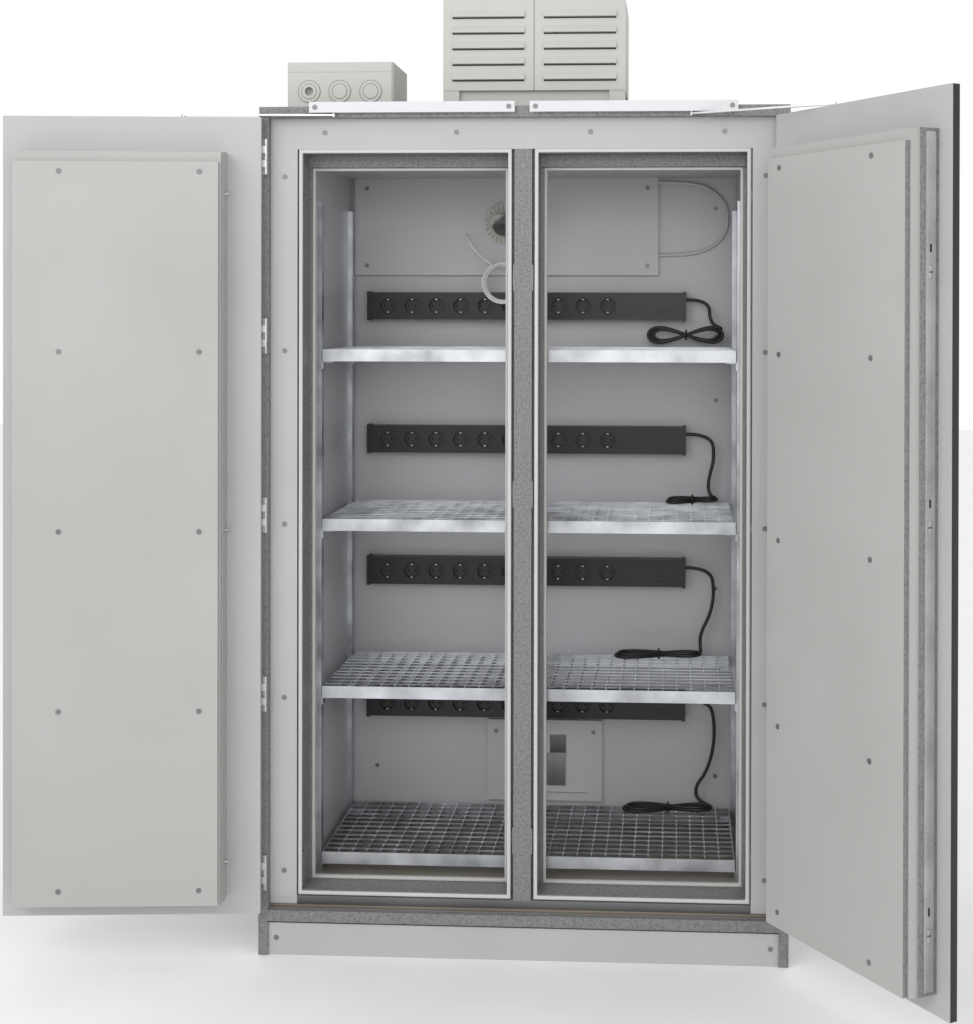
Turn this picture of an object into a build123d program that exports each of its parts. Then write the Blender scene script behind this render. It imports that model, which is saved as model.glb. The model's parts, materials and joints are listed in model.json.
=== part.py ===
from build123d import *
import os
from math import atan2, cos, degrees, radians, sin, sqrt, tan

os.makedirs("parts", exist_ok=True)

# Battery cabinet: an insulated two-door steel cabinet with four grating shelves, four power
# strips, a ventilation box and a junction box on its roof.
# Frame: X to the right, the front faces -Y, Z up, origin on the floor at the footprint's centre.
# Millimetres.

# ---- driving dimensions --------------------------------------------------------------------
width = 1200
depth = 620
board = 22
side_height = 1903
roof_thick = 25
plinth_height = 77
floor_thick = 25
door_open_left = 175
door_open_right = 122
shelf_tops = (191, 582, 976, 1375)
screw_rows = (186, 582, 978, 1374, 1771)
hinge_rows = (190, 596, 1002, 1408, 1814)

front = -depth / 2
back = depth / 2
inside_x = width / 2 - board
floor_top = plinth_height + floor_thick
roof_top = side_height + roof_thick

# The insulated box behind the face frame.
frame_front = front + board
frame_back = frame_front + 18
core_back = back - 2 * board - 4
core_x = 513.5
room_x = 500
room_floor = 142
room_ceiling = 1811
bay_top = 1824
bay_floor = 142
bay_side = 504.5
bay_middle = 34
liner = 9
throat_back = front + 98
seal = 7

# The doors turn about a pin line a little in front of the cabinet.
axis_x = 583
axis_y = front - 6
door_reach = axis_x - 2
door_floor = floor_top + 3
door_top = side_height - 2


def world_box(x0, x1, y0, y1, z0, z1):
    """Place one board by its six faces, in the part that is being built."""
    with Locations(((x0 + x1) / 2, (y0 + y1) / 2, (z0 + z1) / 2)):
        Box(abs(x1 - x0), abs(y1 - y0), abs(z1 - z0))


def both_sides(x0, x1, y0, y1, z0, z1):
    """Place one board and its mirror image left and right."""
    world_box(x0, x1, y0, y1, z0, z1)
    world_box(-x1, -x0, y0, y1, z0, z1)


# ---- carcass -------------------------------------------------------------------------------
with BuildPart() as side_panel_left:
    world_box(-width / 2, -inside_x, front, back, 0, side_height)
side_panel_left.part.label = "side_panel_left"
export_step(side_panel_left.part, "parts/side_panel_left.step")

with BuildPart() as side_panel_right:
    world_box(inside_x, width / 2, front, back, 0, side_height)
side_panel_right.part.label = "side_panel_right"
export_step(side_panel_right.part, "parts/side_panel_right.step")

with BuildPart() as top_board:
    world_box(-width / 2, width / 2, front, back, side_height, roof_top)
    chamfer(top_board.edges().group_by(Axis.Z)[-1], 1)
top_board.part.label = "top_board"
export_step(top_board.part, "parts/top_board.step")

with BuildPart() as bottom_board:
    world_box(-inside_x, inside_x, front, back - board, plinth_height, floor_top)
bottom_board.part.label = "bottom_board"
export_step(bottom_board.part, "parts/bottom_board.step")

# The back panel carries its core.
with BuildPart() as back_panel:
    world_box(-inside_x, inside_x, back - board, back, plinth_height, side_height)
    world_box(-inside_x, inside_x, core_back, back - board, floor_top, side_height)
back_panel.part.label = "back_panel"
export_step(back_panel.part, "parts/back_panel.step")

# Low plinth: a pale kick board in front, a board behind, and a bearer on the floor between.
plinth_gap = 5
with BuildPart() as plinth_front:
    world_box(-inside_x, inside_x, front + 6, front + 24, 0, plinth_height - plinth_gap)
    world_box(-inside_x, inside_x, front + 24, front + 42, 0, plinth_height)
plinth_front.part.label = "plinth_front"
export_step(plinth_front.part, "parts/plinth_front.step")

with BuildPart() as plinth_frame:
    world_box(-inside_x, inside_x, back - board, back - 2, 0, plinth_height)
    world_box(-40, 40, front + 42, back - board, 0, plinth_height)
    both_sides(inside_x - 40, inside_x, front + 42, back - board, 0, plinth_height)
plinth_frame.part.label = "plinth_frame"
export_step(plinth_frame.part, "parts/plinth_frame.step")

# ---- face frame ----------------------------------------------------------------------------
opening_x = 517
opening_top = 1833
opening_floor = 127

with BuildPart() as face_frame:
    world_box(-inside_x, inside_x, frame_front, frame_back, opening_top, side_height)
    world_box(-inside_x, inside_x, frame_front + 2, frame_back, floor_top, opening_floor)
    world_box(-inside_x, inside_x, frame_front - 4, frame_front + 2, floor_top, floor_top + 8)
    both_sides(opening_x, inside_x, frame_front, frame_back, opening_floor, opening_top)
face_frame.part.label = "face_frame"
export_step(face_frame.part, "parts/face_frame.step")

# ---- insulated walls with their inner lining ----------------------------------------------
inner_back = throat_back + 12


def side_wall(side):
    """A thick core outside, and the lining board that faces the room."""
    lo, hi = sorted((side * core_x, side * inside_x))
    world_box(lo, hi, frame_back, core_back, floor_top, side_height)
    lo, hi = sorted((side * room_x, side * core_x))
    world_box(lo, hi, inner_back, core_back, room_floor - 10, opening_top)


with BuildPart() as wall_left:
    side_wall(-1)
wall_left.part.label = "wall_left"
export_step(wall_left.part, "parts/wall_left.step")

with BuildPart() as wall_right:
    side_wall(1)
wall_right.part.label = "wall_right"
export_step(wall_right.part, "parts/wall_right.step")

with BuildPart() as wall_roof:
    world_box(-core_x, core_x, frame_back, core_back, opening_top, side_height)
    world_box(-room_x, room_x, inner_back, core_back, room_ceiling, opening_top)
wall_roof.part.label = "wall_roof"
export_step(wall_roof.part, "parts/wall_roof.step")

with BuildPart() as wall_floor:
    world_box(-core_x, core_x, frame_back, core_back, floor_top, room_floor - 10)
    world_box(-room_x, room_x, inner_back, core_back, room_floor - 10, room_floor)
wall_floor.part.label = "wall_floor"
export_step(wall_floor.part, "parts/wall_floor.step")

# ---- mullion and the two bays --------------------------------------------------------------
face_half = 20
mullion_half = bay_middle - liner + 1
with BuildPart() as mullion:
    world_box(-face_half, face_half, frame_front, frame_back, opening_floor, opening_top)
    world_box(-mullion_half, mullion_half, frame_back, throat_back, room_floor - 10, opening_top)
mullion.part.label = "mullion"
export_step(mullion.part, "parts/mullion.step")

ring_front = frame_front - 2
liner_front = frame_front + 6
outer_x = core_x
outer_top = opening_top
outer_floor = room_floor - 10
bolt_slots = (264, 1050, 1541)
bolt_y = frame_front + 17
dog_rows = (232, 975, 1726)
dog_y = axis_y + 46


def throat(side):
    """Four boards round one bay, from the pale outer profile back to the inner profile."""
    x0 = side * mullion_half
    x1 = side * outer_x
    for a, b in ((x0, side * bay_middle), (x1, side * bay_side)):
        world_box(min(a, b), max(a, b), liner_front, throat_back, outer_floor, outer_top)
    lo = min(side * bay_middle, side * bay_side)
    hi = max(side * bay_middle, side * bay_side)
    world_box(lo, hi, liner_front, throat_back, bay_top, outer_top)
    world_box(lo, hi, liner_front, throat_back, outer_floor, bay_floor)
    for row in bolt_slots:
        with Locations((side * (bay_middle - 4), bolt_y, row)):
            Box(14, 16, 34, mode=Mode.SUBTRACT)
    for row in dog_rows:
        with Locations((side * (outer_x - 4), dog_y, row)):
            Box(12, 24, 16, mode=Mode.SUBTRACT)


with BuildPart() as throat_left:
    throat(-1)
throat_left.part.label = "throat_left"
export_step(throat_left.part, "parts/throat_left.step")

with BuildPart() as throat_right:
    throat(1)
throat_right.part.label = "throat_right"
export_step(throat_right.part, "parts/throat_right.step")


def ring(x0, x1, z0, z1, y0, y1, wide):
    """A rectangular frame of one profile, seen from the front."""
    world_box(x0, x0 + wide, y0, y1, z0, z1)
    world_box(x1 - wide, x1, y0, y1, z0, z1)
    world_box(x0 + wide, x1 - wide, y0, y1, z0, z0 + wide)
    world_box(x0 + wide, x1 - wide, y0, y1, z1 - wide, z1)


# A board with one window for each bay closes the wall behind the throats.
window_top = 1798
window_x0 = bay_middle + seal
window_x1 = room_x
window_floor = room_floor
with BuildPart() as inner_frame:
    with BuildSketch(Plane.XZ.offset(-inner_back)) as inner_outline:
        with Locations((0, (outer_floor + outer_top) / 2)):
            Rectangle(2 * outer_x, outer_top - outer_floor)
        window_mid = ((window_x0 + window_x1) / 2, (window_floor + window_top) / 2)
        with Locations(window_mid, (-window_mid[0], window_mid[1])):
            Rectangle(window_x1 - window_x0, window_top - window_floor, mode=Mode.SUBTRACT)
    extrude(amount=12)
    both_sides(bay_middle, bay_side, throat_back - 11, throat_back, window_top, bay_top)
inner_frame.part.label = "inner_frame"
export_step(inner_frame.part, "parts/inner_frame.step")

# The pale profiles: one round the mouth of each bay, and a smaller one round its inner end.
ring_wide = outer_x - bay_side - 0.5
with BuildPart() as seal_profiles:
    for side in (-1, 1):
        lo, hi = sorted((side * mullion_half, side * outer_x))
        ring(lo, hi, outer_floor, outer_top, ring_front, liner_front, ring_wide)
        lo, hi = sorted((side * window_x0, side * window_x1))
        ring(lo, hi, window_floor, window_top, throat_back + 1, inner_back + 4, seal)
seal_profiles.part.label = "seal_profiles"
export_step(seal_profiles.part, "parts/seal_profiles.step")

# ---- screws of the carcass -----------------------------------------------------------------
head_r = 5.5
head_tall = 1.2
frame_screws = [(x, 1871) for x in (-454, -152, 152, 454)]
for row in screw_rows:
    frame_screws.append((-546, row))
    frame_screws.append((546, row))


def heads_facing_front(spots, face_y, radius=head_r):
    """Low screw heads that sit flat on a face turned to the front."""
    for x, z in spots:
        with Locations((x, face_y - head_tall / 2, z)):
            Cylinder(radius, head_tall, rotation=(90, 0, 0))


# ---- shelf uprights and gratings -----------------------------------------------------------
upright_wide = 25
upright_deep = 12
upright_top = 1723
upright_rows = (front + 160, 215)
hole_pitch = 100
bracket_reach = 26
with BuildPart() as uprights:
    for side in (-1, 1):
        for y in upright_rows:
            with Locations((side * (room_x - upright_deep / 2), y, (room_floor + upright_top) / 2)):
                Box(upright_deep, upright_wide, upright_top - room_floor)
            with Locations(*[(side * (room_x - upright_deep), y, 1650 - n * hole_pitch) for n in range(15)]):
                Box(10, 8, 12, mode=Mode.SUBTRACT)
            for top in shelf_tops:
                x0 = room_x - upright_deep
                lo, hi = sorted((side * (x0 - bracket_reach), side * x0))
                world_box(lo, hi, y - 9, y + 9, top - 31, top - 28)
                lo, hi = sorted((side * (x0 - 3), side * x0))
                world_box(lo, hi, y - 9, y + 9, top - 47, top - 31)
uprights.part.label = "uprights"
export_step(uprights.part, "parts/uprights.step")

pitch = 33.3
shelf_deep = 12 * pitch
shelf_tall = 28
rim = 3
shelf_x = 485
shelf_y0 = -170
shelf_y1 = shelf_y0 + shelf_deep
rod = 3
bars_across = 28
rods_deep = 11


def grating():
    """A pressed grating with its top at zero: rim, bars front to back, rods across on top."""
    world_box(-shelf_x, shelf_x, shelf_y0, shelf_y0 + rim, -shelf_tall, 0)
    world_box(-shelf_x, shelf_x, shelf_y1 - rim, shelf_y1, -shelf_tall, 0)
    both_sides(shelf_x - rim, shelf_x, shelf_y0 + rim, shelf_y1 - rim, -shelf_tall, 0)
    for n in range(bars_across):
        x = (n - (bars_across - 1) / 2) * pitch
        world_box(x - 1, x + 1, shelf_y0 + rim, shelf_y1 - rim, -shelf_tall + 2, -rod)
    for n in range(rods_deep):
        y = shelf_y0 + (n + 1) * pitch
        world_box(-shelf_x + rim, shelf_x - rim, y - 1.2, y + 1.2, -rod, 0)


with BuildPart() as shelf_pattern:
    grating()

for number, top in enumerate(reversed(shelf_tops), start=1):
    shelf = Pos(0, 0, top) * shelf_pattern.part
    shelf.label = f"grating_shelf_{number}"
    export_step(shelf, f"parts/grating_shelf_{number}.step")

# ---- power strips --------------------------------------------------------------------------
strip_rows = (1480, 1135, 794, 452)
strip_x0 = -453
strip_x1 = 372
strip_tall = 70
strip_deep = 42
cap_long = 8
cap_tall = 75
strip_front = core_back - strip_deep
socket_pitch = 63.3
socket_x0 = -399
socket_r = 21
socket_deep = 14
socket_spots = [socket_x0 + socket_pitch * n for n in range(10)]


def strip_body():
    """Aluminium housing with ten round pockets and two end caps, centred on zero height."""
    for x0, x1 in ((strip_x0, strip_x0 + cap_long), (strip_x1 - cap_long, strip_x1)):
        world_box(x0, x1, strip_front - 2, core_back, -cap_tall / 2, cap_tall / 2)
    world_box(strip_x0 + cap_long, strip_x1 - cap_long, strip_front, core_back, -strip_tall / 2, strip_tall / 2)
    with Locations(*[(x, strip_front, 0) for x in socket_spots]):
        Cylinder(socket_r + 0.3, 2 * socket_deep + 4, rotation=(90, 0, 0), mode=Mode.SUBTRACT)


def socket_cups():
    """Round cups in the pockets, with two pin holes and two earth clips each."""
    with Locations(*[(x, strip_front + (socket_deep - 3) / 2 + 0.5, 0) for x in socket_spots]):
        Cylinder(socket_r, socket_deep + 3, rotation=(90, 0, 0))
    with Locations(*[(x, strip_front - 1.5, 0) for x in socket_spots]):
        Cylinder(socket_r - 2, 2 * socket_deep - 6, rotation=(90, 0, 0), mode=Mode.SUBTRACT)
    holes = [(x + d, strip_front + socket_deep, 0) for x in socket_spots for d in (-9.5, 9.5)]
    with Locations(*holes):
        Box(5, 20, 5, mode=Mode.SUBTRACT)


with BuildPart() as strip_pattern:
    strip_body()

with BuildPart() as socket_pattern:
    socket_cups()

for number, height in enumerate(strip_rows, start=1):
    strip = Pos(0, 0, height) * strip_pattern.part
    strip.label = f"power_strip_{number}"
    export_step(strip, f"parts/power_strip_{number}.step")

# The cups, with a small reset button and a lamp lens near the right end of each strip.
with BuildPart() as strip_fittings:
    for height in strip_rows:
        add(socket_pattern.part.moved(Pos(0, 0, height)))
        with Locations((306, strip_front - 1.5, height - 12)):
            Box(14, 3, 9)
        with Locations((336, strip_front - 1, height - 14)):
            Box(8, 2, 6)
strip_fittings.part.label = "strip_fittings"
export_step(strip_fittings.part, "parts/strip_fittings.step")

# ---- equipment on the back wall ------------------------------------------------------------
cover_x0 = -491
cover_x1 = 300
cover_z0 = 1560
cover_z1 = 1811
cover_thick = 14
with BuildPart() as upper_cover:
    world_box(cover_x0, cover_x1, core_back - cover_thick, core_back, cover_z0, cover_z1)
upper_cover.part.label = "upper_cover"
export_step(upper_cover.part, "parts/upper_cover.step")

valve_x = -98
valve_z = 1692
valve_y = core_back - cover_thick
with BuildPart() as air_valve:
    with Locations((valve_x, valve_y - 4, valve_z)):
        Cylinder(52, 8, rotation=(90, 0, 0))
    with Locations((valve_x, valve_y - 12, valve_z)):
        Cylinder(40, 8, rotation=(90, 0, 0))
    chamfer(air_valve.edges().group_by(Axis.Y)[0], 2)
air_valve.part.label = "air_valve"
export_step(air_valve.part, "parts/air_valve.step")

vent_x0 = -140
vent_x1 = 157
vent_z0 = 196
vent_z1 = 405
vent_y = core_back - 12
with BuildPart() as vent_cover:
    world_box(vent_x0, vent_x1, vent_y, core_back, vent_z0, vent_z1)
    world_box(14, 62, vent_y - 6, vent_y, 238, 322)
    world_box(22, 64, vent_y - 4, vent_y, 322, 368)
    with Locations((9, vent_y - 3, 222)):
        Cylinder(3, 216, rotation=(0, 90, 0))
vent_cover.part.label = "vent_cover"
export_step(vent_cover.part, "parts/vent_cover.step")

wall_spots = [(448, 1733), (449, 1237), (449, 750), (-432, 277), (450, 264)]
cover_spots = [(cover_x0 + 32, cover_z0 + 25), (cover_x0 + 32, cover_z1 - 25)]
cover_spots += [(cover_x1 - 28, cover_z0 + 25), (cover_x1 - 28, cover_z1 - 25)]
vent_spots = [(vent_x0 + 22, vent_z1 - 30), (vent_x1 - 22, vent_z1 - 30)]
with BuildPart() as cabinet_fasteners:
    heads_facing_front(frame_screws, frame_front)
    heads_facing_front([(0, 1795)], frame_front)
    heads_facing_front([(-560, 38), (560, 38)], front + 6)
    heads_facing_front(wall_spots, core_back)
    heads_facing_front(cover_spots, core_back - cover_thick)
    heads_facing_front(vent_spots, vent_y)
    for side in (-1, 1):
        for row in bolt_slots:
            with Locations((side * (face_half + 1.5), frame_front + 9, row)):
                Box(3, 16, 60)
cabinet_fasteners.part.label = "cabinet_fasteners"
export_step(cabinet_fasteners.part, "parts/cabinet_fasteners.step")

# ---- cords ---------------------------------------------------------------------------------
cord_d = 8.5


def bend_radii(points):
    """Radius of each bend: 0.45 of the shorter run, over the tangent of half the turn."""
    radii = []
    for a, b, c in zip(points, points[1:], points[2:]):
        u = (Vector(*b) - Vector(*a))
        v = (Vector(*c) - Vector(*b))
        half_turn = radians(u.get_angle(v)) / 2
        radii.append(0.45 * min(u.length, v.length) / tan(half_turn))
    return radii


def cord(points, diameter, radii):
    """A round cord along straight runs joined by tangent arcs."""
    with BuildPart() as body:
        with BuildLine() as route:
            FilletPolyline(*points, radius=radii)
        with BuildSketch(Plane(points[0], z_dir=route.line % 0)):
            Circle(diameter / 2)
        sweep(path=route.line)
    return body.part


# Each lead leaves the right end cap, drops in one plane and ends in a tied hank on its shelf.
lead_y = strip_front + 6
lead_routes = (
    ((strip_x1, 1497), (432, 1497), (432, 1438)),
    ((strip_x1, 1152), (438, 1152), (446, 1090), (430, 1036), (430, 1000)),
    ((strip_x1, 809), (436, 809), (446, 745), (436, 690), (410, 640), (410, 606)),
    ((strip_x1, 469), (436, 469), (448, 405), (444, 340), (425, 280), (400, 250), (400, 215)),
)
hank_spans = ((262, 482), (313, 464), (180, 428), (201, 456))
hank_thick = 24
hank_across = 80
for number, route in enumerate(lead_routes, start=1):
    points = [(x, lead_y, z) for x, z in route]
    radii = bend_radii(points)
    print(f"lead {number} bend radii", [round(r) for r in radii])
    lead = cord(points, cord_d, radii)
    lead.label = f"lead_{number}"
    export_step(lead, f"parts/lead_{number}.step")
    x0, x1 = hank_spans[number - 1]
    hank_top = route[-1][1]
    hank_floor = shelf_tops[4 - number]
    across = hank_across if number > 1 else hank_thick
    with BuildPart() as hank:
        world_box(x0, x1, lead_y + 5 - across, lead_y + 5, hank_floor, hank_top)
        chamfer(hank.edges().filter_by(Axis.Y), 9)
    hank.part.label = f"hank_{number}"
    export_step(hank.part, f"parts/hank_{number}.step")

# A grey cable makes a loop out of the upper cover and back, flat on the back wall.
loop_y = core_back - 6
loop_points = [(cover_x1, loop_y, 1800), (362, loop_y, 1800), (425, loop_y, 1790)]
loop_points += [(472, loop_y, 1752), (482, loop_y, 1700), (466, loop_y, 1652)]
loop_points += [(420, loop_y, 1622), (362, loop_y, 1612), (cover_x1, loop_y, 1612)]
# A thin white cable leaves the cover and hangs as a tied coil.
white_points = [(-197, valve_y, 1666), (-197, valve_y - 22, 1666), (-186, valve_y - 38, 1640)]
white_points += [(-160, valve_y - 38, 1610), (-128, valve_y - 38, 1586)]
with BuildPart() as wall_cables:
    add(cord(loop_points, 8, bend_radii(loop_points)))
    add(cord(white_points, 5, bend_radii(white_points)))
    with Locations(Location((-98, valve_y - 38, 1539), (90, 0, 0))):
        Torus(52, 6)
wall_cables.part.label = "wall_cables"
export_step(wall_cables.part, "parts/wall_cables.step")

# ---- on the roof ---------------------------------------------------------------------------
jbox = (-552, -306, -240, -40)
jbox_top = 2039
knockouts = (-501, -430, -358)
knock_z = 1972
with BuildPart() as junction_box:
    world_box(*jbox, roof_top, jbox_top)
    chamfer(junction_box.edges().filter_by(Axis.Z), 4)
    with Locations((jbox[0] + 123, jbox[2], 2016)):
        Box(260, 2, 2, mode=Mode.SUBTRACT)
    with Locations(*[(x, jbox[2] - 1, knock_z) for x in knockouts]):
        Cylinder(25, 2, rotation=(90, 0, 0))
    with Locations(*[(x, jbox[2] - 2.5, knock_z) for x in knockouts]):
        Cylinder(17, 1, rotation=(90, 0, 0))
    with Locations((knockouts[0], jbox[2], knock_z)):
        Cylinder(10, 30, rotation=(90, 0, 0), mode=Mode.SUBTRACT)
junction_box.part.label = "junction_box"
export_step(junction_box.part, "parts/junction_box.step")

vent_box = (-191, 229, -230, 20)
vent_box_top = 2182
plate_floor = 1973
plate_gap = 2
vent_mid = (vent_box[0] + vent_box[1]) / 2
louvre_rows = (1998, 2034, 2070, 2106, 2142)
with BuildPart() as vent_housing:
    world_box(*vent_box, plate_floor, vent_box_top)
    world_box(vent_box[0] + 4, vent_box[1] - 4, vent_box[2] + 12, vent_box[3], roof_top, plate_floor)
    for x0, x1 in ((vent_box[0], vent_box[0] + 37), (vent_box[1] - 37, vent_box[1])):
        world_box(x0, x1, vent_box[2], vent_box[2] + 12, roof_top, plate_floor)
    for x0, x1 in ((vent_box[0], vent_mid - plate_gap / 2), (vent_mid + plate_gap / 2, vent_box[1])):
        world_box(x0, x1, vent_box[2] - 2, vent_box[2], plate_floor, vent_box_top)
        for row in louvre_rows:
            lo = (x0 + x1) / 2 - 84
            with BuildSketch(Plane.YZ.offset(lo)) as hood:
                with BuildLine():
                    y = vent_box[2] - 2
                    Polyline((y, row + 16), (y - 7, row + 2), (y - 7, row), (y, row), close=True)
                make_face()
            extrude(amount=168)
    with Locations((vent_mid, vent_box[3] + 20, 2080)):
        Cylinder(50, 40, rotation=(90, 0, 0))
    with Locations((vent_mid, vent_box[3] + 40, 2080)):
        Cylinder(47, 60, rotation=(90, 0, 0), mode=Mode.SUBTRACT)
vent_housing.part.label = "vent_housing"
export_step(vent_housing.part, "parts/vent_housing.step")

# ---- door closers on the roof's front edge -------------------------------------------------
channel_x0 = 17
channel_x1 = 483
channel_z0 = 1913
channel_z1 = 1937
channel_y0 = front - 12
wall_t = 1.5
with BuildPart() as closer_channels:
    for lo in (-channel_x1, channel_x0):
        with BuildSketch(Plane.YZ.offset(lo)) as profile:
            with Locations((channel_y0 + 6, (channel_z0 + channel_z1) / 2)):
                Rectangle(12, channel_z1 - channel_z0)
            with Locations((channel_y0 + 6, (channel_z0 + channel_z1) / 2 - wall_t)):
                Rectangle(12 - 2 * wall_t, channel_z1 - channel_z0, mode=Mode.SUBTRACT)
        extrude(amount=channel_x1 - channel_x0)
closer_channels.part.label = "closer_channels"
export_step(closer_channels.part, "parts/closer_channels.step")

arm_long = 340
arm_at = 185
arm_wide = 10
arm_z = 1905.5
arm_thick = 4
pin_r = 2.5
fit = 0.05
slider_z = channel_z0 + 3
slider_half = 12
slider_tall = channel_z1 - wall_t - 0.3 - slider_z


def closer(side, opened):
    """Slider and arm of one door's closer, for a door opened by some degrees."""
    swing = radians(opened)
    door_point = (side * (axis_x - arm_at * cos(swing)), axis_y - arm_at * sin(swing))
    run = sqrt(arm_long**2 - (arm_at * sin(swing)) ** 2)
    slide_point = (door_point[0] - side * run, axis_y)
    with BuildPart() as slider:
        with Locations((slide_point[0], axis_y, slider_z + slider_tall / 2)):
            Box(2 * slider_half, 8, slider_tall)
        with Locations((slide_point[0], axis_y, (arm_z + slider_z) / 2 - 0.1)):
            Cylinder(pin_r, slider_z - arm_z + 0.2)
        with Locations((slide_point[0], axis_y, arm_z - 1.2)):
            Cylinder(4.5, 2)
    bearing = degrees(atan2(door_point[1] - slide_point[1], door_point[0] - slide_point[0]))
    arm_plane = Plane(Location((slide_point[0], slide_point[1], arm_z), (0, 0, bearing)))
    with BuildPart() as arm:
        with BuildSketch(arm_plane) as outline:
            with Locations((arm_long / 2, 0)):
                SlotCenterToCenter(arm_long, arm_wide)
            Circle(pin_r + fit, mode=Mode.SUBTRACT)
        extrude(amount=arm_thick)
    print("closer", side, "slider at", [round(v, 1) for v in slide_point], "bearing", round(bearing, 2))
    return slider.part, arm.part


# ---- doors ---------------------------------------------------------------------------------
# A door's own plane has its origin on the pin line, X toward the free edge and Z up.
core_s0 = 82
core_s1 = 543
board_t1 = frame_front - 4 - 0.3 - axis_y
core_t1 = 72
step_t1 = 91
lining_t1 = 103
core_z0 = 147
core_z1 = 1819
lining_z0 = 152
lining_z1 = 1793
bolt_t = bolt_y - axis_y
bolt_half = 5
bolt_tall = 26
lining_screws = [(s, z) for s in (129, 436) for z in screw_rows]
handle_s = 520
handle_z = 1050
knuckle = 16
knuckle_r = 5
knuckle_gap = 0.2
hinge_pin_r = 3


def knuckles(row, numbers):
    """Some of the five knuckles of one hinge, round the local Z axis."""
    for n in numbers:
        with Locations((0, 0, row + (n - 2) * knuckle)):
            Cylinder(knuckle_r, knuckle - knuckle_gap)


def make_door(name, hand, opened):
    """One door leaf. Hand is 1 on the left and -1 on the right, and turns depth inward."""
    swing = radians(opened)
    plane = Plane((-hand * axis_x, axis_y, 0), x_dir=(hand * cos(swing), -sin(swing), 0), z_dir=(0, 0, 1))

    def door_box(s0, s1, t0, t1, z0, z1, mode=Mode.ADD):
        with Locations(((s0 + s1) / 2, hand * (t0 + t1) / 2, (z0 + z1) / 2)):
            Box(s1 - s0, t1 - t0, z1 - z0, mode=mode)

    with BuildPart(plane) as door_board:
        door_box(7, door_reach, 6, board_t1, door_floor, door_top)
    with BuildPart(plane) as door_core:
        door_box(core_s0, core_s1, board_t1, core_t1, core_z0, core_z1)
        door_box(core_s0 + 2, core_s1 - 3, core_t1, step_t1, core_z0 + 2, core_z1 - 3)
        for row in bolt_slots:
            door_box(510, core_s1 + 1, bolt_t - bolt_half - 0.3, bolt_t + bolt_half + 0.3,
                     row - bolt_tall / 2 - 0.3, row + bolt_tall / 2 + 0.3, mode=Mode.SUBTRACT)
    with BuildPart(plane) as door_lining:
        door_box(core_s0 + 6, core_s1 - 6, step_t1, lining_t1, lining_z0, lining_z1)
    with BuildPart(plane) as door_hardware:
        door_box(core_s1, core_s1 + 1.5, bolt_t - 12, bolt_t + 12, core_z0 + 8, core_z1 - 8)
        for row in bolt_slots:
            door_box(core_s1 - 1, core_s1 + 2.5, bolt_t - bolt_half - 0.3, bolt_t + bolt_half + 0.3,
                     row - bolt_tall / 2 - 0.3, row + bolt_tall / 2 + 0.3, mode=Mode.SUBTRACT)
        for row in dog_rows:
            with Locations((core_s0 - 4, hand * (dog_y - axis_y + 4), row)):
                Cylinder(5, 8, rotation=(0, 90, 0))
        for s, z in lining_screws:
            with Locations((s, hand * (lining_t1 + head_tall / 2), z)):
                Cylinder(head_r, head_tall, rotation=(90, 0, 0))
        for row in hinge_rows:
            knuckles(row, (1, 3))
            for n in (1, 3):
                z = row + (n - 2) * knuckle
                door_box(0, 34, 3.5, 6, z - knuckle / 2 + knuckle_gap / 2, z + knuckle / 2 - knuckle_gap / 2)
            with Locations((0, 0, row)):
                Cylinder(hinge_pin_r + fit, 6 * knuckle, mode=Mode.SUBTRACT)
        door_box(arm_at - 13, arm_at + 13, -6, 6, 1870, 1903)
        with Locations((arm_at, 0, 1904)):
            Cylinder(6, 2)
    with BuildPart(plane) as door_bolts:
        for row in bolt_slots:
            door_box(518, core_s1 + 2.5, bolt_t - bolt_half, bolt_t + bolt_half,
                     row - bolt_tall / 2, row + bolt_tall / 2)
    with BuildPart(plane) as door_plate:
        door_box(handle_s - 20, handle_s + 20, 2, 6, handle_z - 110, handle_z + 70)
    with BuildPart(plane) as door_handle:
        with Locations((handle_s, hand * -14, handle_z)):
            Cylinder(11, 31.4, rotation=(90, 0, 0))
        door_box(handle_s - 125, handle_s + 9, -40, -28, handle_z - 9, handle_z + 9)
    solids = {
        "board": door_board.part + door_plate.part,
        "core": door_core.part,
        "lining": door_lining.part,
        "hardware": door_hardware.part,
        "bolts": door_bolts.part,
        "handle": door_handle.part,
    }
    for kind, solid in solids.items():
        solid.label = f"{name}_door_{kind}"
        export_step(solid, f"parts/{name}_door_{kind}.step")
    slider, arm = closer(-hand, opened)
    slider.label = f"{name}_closer_slider"
    export_step(slider, f"parts/{name}_closer_slider.step")
    arm.label = f"{name}_closer_arm"
    export_step(arm, f"parts/{name}_closer_arm.step")


make_door("left", 1, door_open_left)
make_door("right", -1, door_open_right)

# Frame leaves stand on the side panels' front edges, with the pins fixed in them.
with BuildPart() as frame_hinges:
    for side in (-1, 1):
        for row in hinge_rows:
            with Locations((side * axis_x, axis_y, 0)):
                knuckles(row, (0, 2, 4))
            for n in (0, 2, 4):
                z = row + (n - 2) * knuckle
                lo, hi = sorted((side * axis_x, side * (width / 2 - 2)))
                half = (knuckle - knuckle_gap) / 2
                world_box(lo, hi, front - 2.5, front, z - half, z + half)
            with Locations((side * axis_x, axis_y, row)):
                Cylinder(hinge_pin_r, 5 * knuckle)
frame_hinges.part.label = "frame_hinges"
export_step(frame_hinges.part, "parts/frame_hinges.step")
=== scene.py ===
# %% [markdown]
# # Battery cabinet: the looks
# The cabinet's shapes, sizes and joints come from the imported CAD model. This script gives each
# piece its finish and adds the small things that a solid model leaves plain: rounded seals,
# screw heads, earth clips, cords. Everything is in metres, in the model's own frame.

# %% Load the frame
import bpy
import json
from math import atan2, cos, pi, radians, sin
from mathutils import Matrix, Vector


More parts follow.
